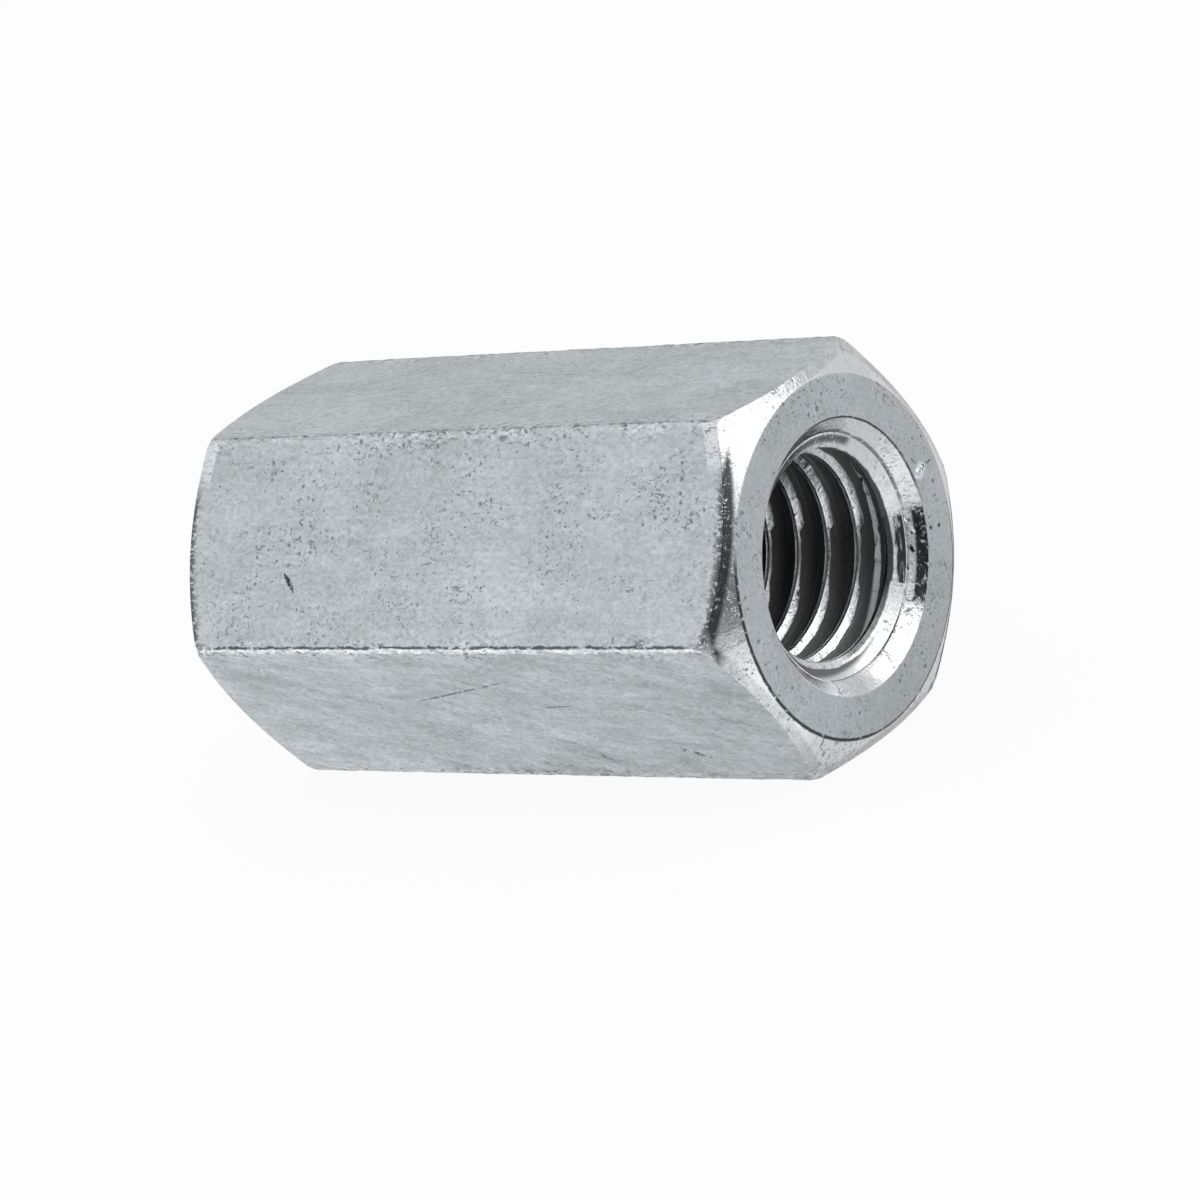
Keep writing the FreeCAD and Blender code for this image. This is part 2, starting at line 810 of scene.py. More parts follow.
@dataclass(frozen=True)
class Scratch(Mark):
    """A straight mark from one place to another."""

    start: Point = (0.0, 0.0, 0.0)
    end: Point = (1.0, 0.0, 0.0)
    uneven_size: float = 0.25
    uneven_reach: float = 0.03
    thinnest: float = 0.004

    def cover(self, place: Field) -> Field:
        """How strongly the scratch covers a place."""
        start, end = Vector(self.start), Vector(self.end)
        reach = end - start
        offset = place.shaken(self.uneven_size, self.uneven_reach).vector("SUBTRACT", tuple(start))
        share = offset.dot(tuple(reach / reach.length_squared)).most(0).least(1)
        away = offset.vector("SUBTRACT", share.times(tuple(reach))).length()
        taper = 1 - abs(share * 2 - 1) ** 3.0
        line = (away / (taper * self.width + self.thinnest)).ease(1.0, 0.3)
        return line * self.crumbled(place) * self.depth


@dataclass(frozen=True)
class Seam(Mark):
    """A fine dark line round part of an end, where a tool left an edge; the ends use it both for grime
    and for painted shade.
    """

    radius: float = 6.0
    middle: float = 0.0
    reach: float = 180.0
    wander: Cloud = Cloud((0.3, 0.22, 0.22), 3)
    wander_reach: float = 0.06
    only_past: float = 11.2

    def cover(self, place: Field) -> Field:
        """How strongly the seam covers a place."""
        along, radius, _, _ = place.polar()
        kept = (place.dot(spoke(self.middle)) / radius).within(self.reach * 0.8, self.reach)
        off_line = abs(radius + place.cloud(self.wander).sway(self.wander_reach) - self.radius)
        line = off_line.ease(self.width, self.width * 0.4)
        at_end = abs(along).ease(self.only_past, self.only_past + 0.2)
        return line * kept * at_end * self.crumbled(place) * self.depth


# Dark lines at the outer edge of the end faces: partly grime, and partly painted crease shade in place
# of occlusion
FACE_SEAMS = (
    Seam(0.08, 0.95, 0.1, radius=6.0, middle=-150, reach=58),
    Seam(0.05, 0.85, 0.2, radius=6.0, middle=-65, reach=60),
)
MOUTH_SEAM = Seam(0.05, 0.90, 0.1, radius=4.6, middle=62, reach=62)


@dataclass(frozen=True)
class PaintedRidgeLine(Mark):
    """A line along one of the long edges, beside the middle of its rounding: dark ones are painted
    shade for a dark reflection, shining ones painted highlights.
    """

    angle: float = 0.0
    offset: float = 0.0
    start: float = -10.9
    end: float = 10.9
    fade: float = 0.6
    wander: Cloud = Cloud((0.32, 0.2, 0.2), 4)
    wander_reach: float = 0.2
    beyond: float = 7.0

    def cover(self, place: Field) -> Field:
        """How strongly the line covers a place."""
        across = place.dot(spoke(self.angle + 90))
        outwards = place.dot(spoke(self.angle)).ease(self.beyond, self.beyond + 0.1)
        off_line = abs(across + place.cloud(self.wander).sway(self.wander_reach) - self.offset)
        line = off_line.ease(self.width, self.width * 0.3)
        along = place.parts()[0]
        started = along.ease(self.start, self.start + self.fade)
        not_ended = along.ease(self.end, self.end - self.fade)
        return line * outwards * started * not_ended * self.crumbled(place) * self.depth


@dataclass(frozen=True)
class PlatedSteel:
    """Bright zinc plating gone matt. Each kind of surface sets its own numbers."""

    name: str = "plated_steel"
    spread: Spread = Spread.ACROSS_THE_END
    colour: Colour = (0.662, 0.700, 0.727)
    # Colour of grime, also laid as painted shade where marks and masks stand in for dark reflections
    # and occlusion
    dirt_and_shade: Colour = (0.05, 0.055, 0.06)
    roughness: float = 0.5
    roughness_spread: float = 0.16
    mottling: float = 0.22
    grain: float = 0.38
    pit_spacing: float = 0.50
    pit_size: float = 0.075
    pit_share: float = 0.5
    veins: float = 0.9
    mean_radius: float = 6.9
    marks: tuple[Mark, ...] = ()
    brightest: float = 0.98
    blotch_share: float = 0.75
    grain_height: float = 0.008
    blotch_height: float = 0.012
    pit_depth: float = 0.012
    pit_dirt: float = 0.65
    rim_shine: float = 0.07
    mark_depth: float = 0.01
    mark_painted_highlight: float = 0.5
    mark_polish: float = 0.2
    broad_cloud: Cloud = Cloud((4.5, 2.4, 2.4), 4, 0.8)
    blotch_cloud: Cloud = Cloud((0.8, 0.5, 0.5), 5, 1.2)
    grain_cloud: Cloud = Cloud((0.20, 0.13, 0.13), 3, 0.5)
    gathering_cloud: Cloud = Cloud((2.6, 1.6, 1.6), 3)
    curl_cloud: Cloud = Cloud((0.75, 0.5, 0.5), 2, 1.6)
    part_cloud: Cloud = Cloud((0.34, 0.24, 0.24), 3)

    def material(self) -> bpy.types.Material:
        """Make the material.

        Returns:
            A new material of this finish.
        """
        material = bpy.data.materials.new(self.name)
        material.use_nodes = True
        desk = Desk(material.node_tree)
        coords = desk.add("ShaderNodeTexCoord", {}, {}, out="Object")
        place = coords.scaled((1 / MM,) * 3)
        shade, dirt_and_shade, gloss, height = self.surface(place)
        for mark in self.marks:
            cover = mark.cover(place)
            # Shining marks are painted highlights: they lighten the colour, and the place is also less
            # rough; dark marks add grime and painted shade
            if mark.painted_shine:
                height = height - cover * self.mark_depth
                shade = shade + cover * self.mark_painted_highlight
                gloss = gloss - cover * self.mark_polish
                dirt_and_shade = dirt_and_shade * (1 - cover)
            else:
                dirt_and_shade = dirt_and_shade.most(cover)
        bump = desk.add("ShaderNodeBump", {}, {"Strength": 1.0, "Distance": MM, "Height": height})
        inputs = {"Base Color": self.shaded(shade, dirt_and_shade), "Roughness": gloss, "Normal": bump}
        inputs["Metallic"] = self.metal(place)
        steel = desk.add("ShaderNodeBsdfPrincipled", {}, inputs)
        desk.add("ShaderNodeOutputMaterial", {}, {"Surface": steel})
        return material

    def shaded(self, shade: Field, dirt_and_shade: Field) -> Field:
        """Plating colour made lighter or darker, with grime and painted shade over it.

        Args:
            shade: Brightness, with 1 for the plain colour.
            dirt_and_shade: How much dark cover lies on the surface, from 0 to 1: grime, and painted
                shade.

        Returns:
            The colour.
        """
        brightest = self.brightest / max(self.colour)
        light = tuple(part * brightest for part in self.colour)
        plate = shade.desk.mix(shade / brightest, (0, 0, 0, 1), (*light, 1))
        return shade.desk.mix(dirt_and_shade, plate, (*self.dirt_and_shade, 1))

    def surface(self, place: Field) -> Looks:
        """What changes over the surface.

        Args:
            place: Place on the nut in millimetres.

        Returns:
            Brightness, dark cover of grime and painted shade, roughness, and height in millimetres.
        """
        broad = place.cloud(self.broad_cloud)
        blotch = place.cloud(self.blotch_cloud)
        grain = place.cloud(self.grain_cloud)
        pits, rims = self.pits(place)
        mottling = self.mottling * 2
        shade = 1 + broad.sway(mottling) + blotch.sway(mottling * self.blotch_share)
        shade = shade + grain.sway(self.grain * 2) + rims * self.rim_shine
        gloss = self.roughness + blotch.sway(self.roughness_spread)
        height = grain.sway(self.grain_height) + blotch.sway(self.blotch_height)
        return shade, pits * self.pit_dirt, gloss, height - pits * self.pit_depth

    def flattened(self, place: Field) -> Field:
        """Place on the surface in a flat map of it.

        Args:
            place: Place on the nut in millimetres.

        Returns:
            A vector of two distances in millimetres.
        """
        along, across, up = place.parts()
        if self.spread is Spread.ACROSS_THE_END:
            return across.joined(up, 0.0)
        return along.joined(across.math("ARCTAN2", up) * self.mean_radius, 0.0)

    def pits(self, place: Field) -> tuple[Field, Field]:
        """Small dark pits, gathered in places.

        Args:
            place: Place on the nut in millimetres.

        Returns:
            The pits themselves, and their raised rims.
        """
        flat = self.flattened(place).shaken(0.14, 0.05).shaken(0.06, 0.035)
        gathered = place.cloud(self.gathering_cloud).ease(0.36, 0.60) * self.pitted(place)
        pits, rims = None, None
        for closer, smaller in ((1.0, 1.0), (0.5, 0.55)):
            spacing = self.pit_spacing * closer
            size = self.pit_size * smaller
            near, number = flat.cells(spacing)
            kept = (number - (1 - self.pit_share)).most(0) / self.pit_share
            radius = kept * gathered * size * 1.6 + 0.0001
            away = near * spacing / radius
            pit = away.ease(1.3, 0.1)
            rim = away.ease(2.4, 1.2) * kept * gathered
            pits = pit if pits is None else pits.most(pit)
            rims = rim if rims is None else rims.most(rim)
        curls = place.cloud(self.curl_cloud)
        parts = place.cloud(self.part_cloud)
        veins = abs(curls - 0.5).ease(0.026, 0.008) * parts.ease(0.51, 0.57) * gathered
        return pits.most(veins * self.veins), rims

    def pitted(self, place: Field) -> Any:
        """How much a place is given to pits, from 0 to 1."""
        return 1.0

    def metal(self, place: Field) -> Any:
        """How much a place looks like metal, from 0 to 1."""
        return 1.0


@dataclass(frozen=True)
class DrawnFlats(PlatedSteel):
    """The six drawn flats and their worn long edges."""

    name: str = "drawn_flats"
    spread: Spread = Spread.ROUND_THE_BAR
    corner_radius: float = 7.390
    line_strength: float = 0.20
    line_height: float = 0.006
    worn_dirt: float = 0.68
    worn_shine: float = 0.3
    ridge_polish: float = 0.15
    cone_dirt: float = 0.85
    cone_painted_sheen: float = 0.3
    cone_polish: float = 0.12
    smear_strength: float = 0.75
    lower_flat_painted_lift: float = 0.06
    least_pitted: float = 0.45
    line_cloud: Cloud = Cloud((14.0, 0.16, 0.16), 3)
    speck_cloud: Cloud = Cloud((0.24, 0.13, 0.13), 4, 0.6)
    patch_cloud: Cloud = Cloud((1.6, 1.6, 1.6), 3)
    smear_cloud: Cloud = Cloud((3.2, 0.9, 1.0), 5, 0.9)
    smeared_side: Point = (0.0, -0.866, -0.5)
    pitted_side: Point = (0.0, -0.866, 0.5)
    pitted_along: Point = (0.0, 0.5, 0.866)
    cone_reach: float = 15.464
    cone_slope: float = 0.577
    apothem: float = 6.4
    marks: tuple[Mark, ...] = (
        # Painted light along the long edges: each dark line is painted shade for a dark reflection, and
        # each shining line a painted highlight
        PaintedRidgeLine(0.065, 0.85, 0.25, angle=180, offset=-0.10),
        PaintedRidgeLine(0.11, 1.0, 0.55, painted_shine=True, angle=180, offset=0.05),
        PaintedRidgeLine(0.07, 0.7, 0.65, angle=120, offset=-0.09),
        PaintedRidgeLine(0.06, 0.8, 0.85, painted_shine=True, angle=120, offset=0.07),
        PaintedRidgeLine(0.045, 0.6, 0.5, angle=60, offset=0.08),
        PaintedRidgeLine(0.05, 0.7, 0.7, painted_shine=True, angle=60, offset=-0.05),
        PaintedRidgeLine(0.045, 0.6, 0.7, angle=0, offset=0.07),
        PaintedRidgeLine(0.045, 0.6, 0.6, angle=-60, offset=-0.08),
        PaintedRidgeLine(0.045, 0.6, 0.6, angle=-120, offset=0.07),
        Scratch(0.055, 0.7, 0.3, start=(-3.20, -5.886, -2.608), end=(1.90, -6.524, -1.496)),
        Scratch(0.05, 0.65, 0.3, start=(2.25, -5.759, -2.812), end=(3.70, -5.803, -2.743)),
        Scratch(0.16, 0.7, 0.6, start=(6.46, -4.64, -4.775), end=(7.81, -4.35, -5.30)),
        Scratch(0.15, 0.6, 0.7, start=(2.93, -4.466, -5.058), end=(3.53, -4.05, -5.80)),
        Scratch(0.14, 0.6, 0.7, start=(0.12, -4.11, -5.69), end=(1.45, -4.0, -5.87)),
        Scratch(0.05, 0.6, 0.3, start=(-6.35, 0.46, 6.4), end=(-5.40, 0.67, 6.4)),
        Scratch(0.05, 0.55, 0.2, start=(-7.137, -6.077, 2.269), end=(-6.763, -6.339, 1.819)),
        Scratch(0.07, 0.6, 0.3, start=(1.60, -6.03, 2.37), end=(1.76, -6.06, 2.30)),
        Scratch(0.035, 0.35, 0.4, start=(-9.6, -2.1, 6.4), end=(-5.2, -1.4, 6.4)),
        Scratch(0.035, 0.35, 0.4, start=(-3.0, 1.9, 6.4), end=(2.6, 1.0, 6.4)),
    )

    def surface(self, place: Field) -> Looks:
        """What changes over the flats, with lines drawn along the bar."""
        shade, dirt_and_shade, gloss, height = super().surface(place)
        lines = place.cloud(self.line_cloud)
        shade = shade + lines.sway(self.line_strength)
        height = height + lines.sway(self.line_height)
        edge = (self.corner_radius - place.furthest(CORNERS)) * 2
        specks = place.cloud(self.speck_cloud)
        patches = place.cloud(self.patch_cloud).ease(0.38, 0.58)
        worn = edge.ease(0.75, 0.10) * patches
        dirt_and_shade = dirt_and_shade.most(worn * specks.ease(0.54, 0.62) * self.worn_dirt)
        shade = shade + worn * specks.ease(0.46, 0.40) * self.worn_shine
        shade = shade + self.smears(place)
        gloss = gloss - edge.ease(0.26, 0.20) * self.ridge_polish
        soiled, polish_and_sheen = self.beside_cone(place, specks)
        # Painted highlight at the upper corner of the flat beside the cones
        shade = shade + polish_and_sheen * self.cone_painted_sheen
        return shade, dirt_and_shade.most(soiled), gloss - polish_and_sheen * self.cone_polish, height

    def beside_cone(self, place: Field, specks: Field) -> tuple[Field, Field]:
        """What the turning tool left on the pitted flat beside the cones.

        Args:
            place: Place on the nut in millimetres.
            specks: Fine random field around 0.5.

        Returns:
            Dirt along the lower part of the border, and a painted highlight at its upper corner, which
            is also less rough.
        """
        along, radius, _, _ = place.polar()
        inside = self.cone_reach - radius * self.cone_slope - abs(along)
        facing = self.on_side(place.dot(self.pitted_side))
        upper = place.dot(self.pitted_along)
        beside = inside.ease(0.50, 0.02)
        soiled = beside * (specks + beside * 0.16).ease(0.55, 0.63) * upper.ease(2.4, 1.2) * facing
        polish_and_sheen = inside.ease(0.62, 0.50) * upper.ease(1.9, 2.5) * facing
        return soiled * self.cone_dirt, polish_and_sheen * specks.ease(0.60, 0.52)

    def pitted(self, place: Field) -> Any:
        """How much a place is given to pits, which two opposite flats have most of."""
        side = self.on_side(abs(place.dot(self.pitted_side)))
        return side * (1 - self.least_pitted) + self.least_pitted

    def on_side(self, reach: Field) -> Field:
        """Whether a place lies on the flat that it reaches out to by a distance in millimetres."""
        return reach.ease(self.apothem - 0.06, self.apothem - 0.02)

    def smears(self, place: Field) -> Field:
        """Cloudy stains that run slantwise over one flat, lighter and darker around a painted lift that
        makes that flat a little lighter overall.
        """
        along, _, up = place.parts()
        slanted = (along - up * 1.4).joined(along * 0.5 + up * 1.6, 0.0)
        on_side = place.dot(self.smeared_side).ease(self.apothem - 0.1, self.apothem - 0.02)
        # The lift is painted light: it brightens the whole flat that the smears lie on by a constant
        return (slanted.cloud(self.smear_cloud) - 0.5 + self.lower_flat_painted_lift) * on_side * self.smear_strength


@dataclass(frozen=True)
class FacedRing(PlatedSteel):
    """The round end faces."""

    name: str = "faced_ring"
    # Darker than the plating elsewhere as painted shade: the same zinc, made darker so the end face
    # mirrors less light
    colour: Colour = (0.556, 0.592, 0.615)
    mottling: float = 0.16
    grain: float = 0.28
    pit_share: float = 0.45
    marks: tuple[Mark, ...] = (
        *FACE_SEAMS,
        MOUTH_SEAM,
        # Painted highlight: the nick is made lighter to shine white, over a real dent
        Scratch(0.34, 1.0, 0.0, painted_shine=True, start=(12.0, 4.60, 0.86), end=(12.0, 5.30, 1.10)),
        Scratch(0.05, 0.7, 0.0, start=(12.0, 4.62, 1.55), end=(12.0, 4.84, 1.26)),
        Scratch(0.05, 0.7, 0.0, start=(12.0, 5.30, 1.07), end=(12.0, 5.73, 1.08)),
        Scratch(0.10, 0.9, 0.0, start=(12.0, 4.64, -0.97), end=(12.0, 4.80, -1.04)),
        Scratch(0.10, 0.9, 0.0, start=(12.0, 5.10, -1.10), end=(12.0, 5.28, -1.14)),
    )


@dataclass(frozen=True)
class TurnedCone(PlatedSteel):
    """The cones between the flats and the end faces, given a polish by the tool, with a duller smudge
    at the border whose dark colour is painted shade for a dark reflection.
    """

    name: str = "turned_cone"
    # Lighter than the flats' plating: partly fresh turning, partly painted light for the brighter floor
    # that the cone mirrors
    colour: Colour = (0.825, 0.847, 0.868)
    roughness: float = 0.24
    mottling: float = 0.22
    grain: float = 0.30
    pit_share: float = 0.6
    apothem: float = 6.4
    smudged_side: Point = (0.0, -0.866, 0.5)
    smudged_along: Point = (0.0, 0.5, 0.866)
    speck_height: float = 0.008
    smudge_shade_depth: float = 0.95
    smudge_dullness: float = 0.2
    fleck_dirt: float = 0.6
    narrow_shine: float = 0.15
    crack_cloud: Cloud = Cloud((0.26, 0.14, 0.14), 5, 0.8)
    smear_cloud: Cloud = Cloud((0.9, 0.5, 0.5), 4, 0.8)
    marks: tuple[Mark, ...] = (
        *FACE_SEAMS,
        Scratch(0.05, 0.8, 0.0, start=(11.99, -3.60, -4.80), end=(11.75, -3.80, -5.30)),
    )

    def surface(self, place: Field) -> Looks:
        """What changes over the cones, with dark smudges of painted shade that reach in from the flats.
        """
        shade, dirt_and_shade, gloss, height = super().surface(place)
        reach = place.furthest(SIDES)
        radius = place.scaled((0, 1, 1)).length()
        narrow = radius.ease(6.86, 6.62)
        lower = place.dot(self.smudged_along).ease(-0.4, -1.4)
        cracks = place.cloud(self.crack_cloud)
        smear = place.cloud(self.smear_cloud)
        smudged = abs(place.dot(self.smudged_side)).ease(5.5, 6.0)
        border = reach.ease(self.apothem - 0.22, self.apothem - 0.03)
        specks = cracks.ease(0.57, 0.63) * border * smear.ease(0.44, 0.58)
        # Painted shade: the dark smudge at the border stands in for the dark reflection the cone shows
        # there; it also makes the cone rougher
        smudge_and_shade = narrow.most(radius.ease(7.24, 7.00) * lower) * (smudged * 0.8 + 0.2)
        smudge_and_shade = smudge_and_shade * reach.ease(self.apothem - 0.42, self.apothem - 0.22)
        smudge_and_shade = smudge_and_shade * (smear * 0.5 + cracks).ease(0.54, 0.70)
        flecks = cracks.ease(0.59, 0.65) * smear.ease(0.46, 0.56) * radius.ease(6.60, 6.80)
        dirt_and_shade = dirt_and_shade.most(specks * (narrow * smudged * 0.5 + 0.35)).most(smudge_and_shade * self.smudge_shade_depth)
        dirt_and_shade = dirt_and_shade.most(flecks * (self.fleck_dirt - lower * 0.5))
        clean = narrow * reach.ease(self.apothem - 0.30, self.apothem - 0.40)
        gloss = gloss + smudge_and_shade * self.smudge_dullness
        return shade + clean * self.narrow_shine, dirt_and_shade, gloss, height - specks * self.speck_height


@dataclass(frozen=True)
class CountersunkMouth(PlatedSteel):
    """The two steps of each countersink."""

    name: str = "countersunk_mouth"
    colour: Colour = (0.845, 0.865, 0.885)
    dirt_and_shade: Colour = (0.055, 0.057, 0.06)
    roughness: float = 0.2
    mottling: float = 0.14
    grain: float = 0.22
    pit_share: float = 0.35
    step_radius: float = 4.1
    torn_from: float = -0.72
    torn_to: float = -0.06
    torn_shine: float = 0.3
    torn_dullness: float = 0.25
    torn_height: float = 0.03
    frayed_dirt: float = 0.8
    mouth_crest_shadow_depth: float = 0.97
    streak_cloud: Cloud = Cloud((0.13, 0.7, 0.5), 4, 0.5)
    block_cloud: Cloud = Cloud((0.16, 0.22, 0.22), 4, 0.8)
    marks: tuple[Mark, ...] = (
        MOUTH_SEAM,
        Seam(0.05, 0.70, 0.2, radius=4.13, middle=50, reach=52),
        # The next two dark lines are painted shade, for the dark self-reflection in the upper part of
        # the mouth
        Seam(0.10, 0.75, 0.1, radius=4.14, middle=84, reach=24),
        Seam(0.20, 0.85, 0.1, radius=3.90, middle=80, reach=30),
    )

    def surface(self, place: Field) -> Looks:
        """What changes over the countersink, with the patch that the first turn of a bolt tore."""
        shade, dirt_and_shade, gloss, height = super().surface(place)
        along, radius, angle, rolled = place.polar()
        streaks = rolled.cloud(self.streak_cloud)
        blocks = rolled.cloud(self.block_cloud)
        ragged = angle + blocks.sway(0.25)
        near_end = along.ease(0.0, 1.0)
        torn = ragged.ease(self.torn_from - 0.06, self.torn_from)
        torn = torn * ragged.ease(self.torn_to + 0.04, self.torn_to) * near_end
        outer = radius.ease(self.step_radius + 0.16, self.step_radius + 0.23)
        inner = radius.ease(self.step_radius - 0.04, self.step_radius - 0.08)
        soiled = outer * blocks.ease(0.31, 0.46)
        soiled = soiled + inner * (streaks * 0.7 + radius * 0.7 - 2.75).ease(0.18, 0.33)
        edge = 1 - outer - inner
        frayed = ragged.ease(self.torn_from - 0.30, self.torn_from - 0.20) * near_end
        frayed = frayed * ragged.ease(self.torn_from + 0.1, self.torn_from)
        dirt_and_shade = dirt_and_shade.most(torn * soiled).most(frayed * blocks.ease(0.56, 0.62) * self.frayed_dirt)
        # Painted shade: a dark band over the first crest inside the mouth, on the side within about 60
        # degrees of the Y axis
        mouth_crest_shadow = (radius + streaks.sway(0.1)).ease(3.66, 3.60) * abs(angle).ease(1.35, 1.05)
        dirt_and_shade = dirt_and_shade.most(mouth_crest_shadow * self.mouth_crest_shadow_depth)
        shade = shade + torn * edge * self.torn_shine
        gloss = gloss + torn * self.torn_dullness
        return shade, dirt_and_shade, gloss, height + torn * (blocks + streaks) * self.torn_height


@dataclass(frozen=True)
class CutThread(PlatedSteel):
    """The thread, light on its crests and at its mouth, with painted shade over the grooves below the
    crests, where they are also rougher.
    """

    name: str = "cut_thread"
    spread: Spread = Spread.ROUND_THE_BAR
    mean_radius: float = 3.8
    colour: Colour = (0.845, 0.865, 0.885)
    # Colour of the painted shade in the grooves
    dirt_and_shade: Colour = (0.22, 0.222, 0.224)
    roughness: float = 0.2
    shade_from_radius: float = 3.50
    wider: float = 0.17
    fade: float = 0.04
    shade_to_depth: float = 11.08
    lead: float = 0.199
    crest_shade: float = 0.94
    line_share: float = 0.16
    crust_painted_highlight: float = 0.2
    band_painted_highlight: float = 0.14
    dullness: float = 0.45
    crust_height: float = 0.02
    crust_cover: float = 0.85
    fringe_cloud: Cloud = Cloud((0.25, 0.7, 0.5), 4, 0.6)
    line_cloud: Cloud = Cloud((0.07, 1.5, 0.5), 3)

    def surface(self, place: Field) -> Looks:
        """What changes over the thread, with painted shade below its crests."""
        shade, dirt_and_shade, gloss, height = super().surface(place)
        along, radius, angle, rolled = place.polar()
        depth = abs(along)
        up = place.parts()[2] / radius
        ragged = rolled.cloud(self.fringe_cloud) - 0.5
        # Painted light: from a little below the axis upwards, and at the very bottom, the light crest
        # band is made wider and lighter
        painted_light_band = up.ease(-0.16, -0.08).most(up.ease(-0.55, -0.80))
        edge = radius + ragged * 0.14 - painted_light_band * self.wider
        # Painted shade: beyond the crest band the grooves are darkened, except in the last part towards
        # each mouth
        shaded_groove = edge.ease(self.shade_from_radius, self.shade_from_radius + self.fade)
        shaded_groove = shaded_groove * depth.ease(self.shade_to_depth + 0.15, self.shade_to_depth)
        crust_highlight = self.highlighted_crust(place)
        # Painted shadow: a dark band on the crest next to the lead-in, except at the bottom
        lip_shadow = (radius + ragged * 0.1).ease(3.64, 3.57) * depth.ease(10.82, 10.90)
        lip_shadow = lip_shadow * angle.ease(-1.75, -1.50)
        shade = shade * (1 - lip_shadow * self.crest_shade)
        turned = (along - angle * self.lead).joined(angle, radius)
        lines = turned.cloud(self.line_cloud).ease(0.56, 0.66)
        shaded_groove = shaded_groove * (1 - crust_highlight)
        dirt_and_shade = dirt_and_shade.most(shaded_groove * (1 - lines * self.line_share)) * (1 - lip_shadow)
        # The crust is made lighter as a painted highlight, and the wider crest band as painted light
        shade = shade + crust_highlight * self.crust_painted_highlight + painted_light_band * self.band_painted_highlight
        gloss = gloss + shaded_groove.most(crust_highlight) * self.dullness
        return shade, dirt_and_shade, gloss, height + crust_highlight * self.crust_height

    def highlighted_crust(self, place: Field) -> Field:
        """Rough plating built up in the corner of the outermost groove, whose lighter colour is a
        painted highlight.
        """
        along, radius, _, rolled = place.polar()
        depth = abs(along)
        ragged = rolled.cloud(self.fringe_cloud) - 0.5
        in_corner = (radius + ragged * 0.15).ease(3.96, 4.00)
        in_corner = in_corner * (depth + ragged * 0.15).ease(10.42, 10.38)
        return in_corner * depth.ease(10.14, 10.22) * ragged.ease(-0.12, 0.0)

    def metal(self, place: Field) -> Any:
        """How much a place looks like metal, which the crust in the outermost groove does least."""
        return 1 - self.highlighted_crust(place) * self.crust_cover


@dataclass
class CouplingNut:
    """The whole nut: its shape, its finishes and its place in the model."""

    bar: HexagonBar = field(default_factory=HexagonBar)
    edge_break: float = 0.05
    edge_facets: int = 3
    sharp_from: float = 20.0
    smooth_to: float = 30.0
    margin: float = 0.1
    ring_facing: float = 0.9
    cone_facing: float = 0.3
    crest_margin: float = 0.015

    def __post_init__(self) -> None:
        """Derive what is cut into the bar."""
        self.ends = TurnedEnds(self.bar)
        self.bore = TappedBore(self.bar)
        self.handling = Handling()

    def build(self) -> Piece:
        """Make the nut from the bar.

        Returns:
            The finished and dressed object.
        """
        nut = self.bar.build()
        self.ends.shape(nut)
        self.bore.drill(nut)
        self.break_edges(nut)
        self.handling.strike(nut)
        self.bore.tap(nut)
        self.dress(nut)
        self.smooth(nut)
        self.settle(nut)
        return nut

    def break_edges(self, nut: Piece) -> None:
        """Round the edges that turning and drilling left at the ends.

        Args:
            nut: The nut before it is tapped.
        """
        Bench.edit(nut)
        near_end = self.bar.worn_to + self.margin
        beyond_mouth = self.bore.mouth_radius + self.margin
        sharp = math.radians(self.sharp_from)

        def is_sharp(edge: bmesh.types.BMEdge) -> bool:
            """Whether an edge at an end is sharp enough to be broken."""
            at_end = all(abs(vert.co.x) > near_end for vert in edge.verts)
            outside = all(math.hypot(vert.co.y, vert.co.z) > beyond_mouth for vert in edge.verts)
            return at_end and outside and edge.is_manifold and edge.calc_face_angle() > sharp

        Bench.pick(nut, Pick.EDGES, is_sharp)
        Bench.round_edges(self.edge_break, self.edge_facets)
        Bench.leave()

    def skin(self, face: bpy.types.MeshPolygon) -> Skin:
        """Which finish a face of the nut has.

        Args:
            face: A face of the finished mesh, in millimetres.

        Returns:
            The skin of that face.
        """
        place = face.center
        radius = math.hypot(place.y, place.z)
        along = abs(place.x)
        if along > self.bar.length / 2 - 0.001:
            return Skin.RING
        if radius < self.bore.step_radius + 0.01:
            cone = self.bore.lead_in(radius)
            return Skin.MOUTH if along > cone - self.crest_margin else Skin.THREAD
        if radius < self.bore.mouth_radius:
            return Skin.MOUTH
        if abs(face.normal.x) > self.ring_facing:
            return Skin.RING
        if abs(face.normal.x) > self.cone_facing:
            return Skin.CONE
        return Skin.FLAT

    def dress(self, nut: Piece) -> None:
        """Give each surface its finish.

        Args:
            nut: The tapped nut.
        """
        finishes = {
            Skin.FLAT: DrawnFlats(),
            Skin.RING: FacedRing(),
            Skin.CONE: TurnedCone(),
            Skin.MOUTH: CountersunkMouth(),
            Skin.THREAD: CutThread(),
        }
        nut.data.materials.clear()
        for finish in finishes.values():
            nut.data.materials.append(finish.material())
        for face in nut.data.polygons:
            face.material_index = self.skin(face).value

    def smooth(self, nut: Piece) -> None:
        """Shade the curved surfaces smooth and keep the flats flat.

        Args:
            nut: The tapped nut.
        """
        Bench.take(nut)
        bpy.ops.object.shade_smooth_by_angle(angle=math.radians(self.smooth_to))
        Bench.modify(nut, "WEIGHTED_NORMAL", keep_sharp=True, weight=80)

    def settle(self, nut: Piece) -> None:
        """Bring the mesh to metres and put it in the model in place of the plain solid.

        Args:
            nut: The dressed nut.
        """
        Bench.take(nut)
        nut.scale = (MM, MM, MM)
        bpy.ops.object.transform_apply(location=True, rotation=True, scale=True)
        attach(nut, BODY)
        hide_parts(NODE)


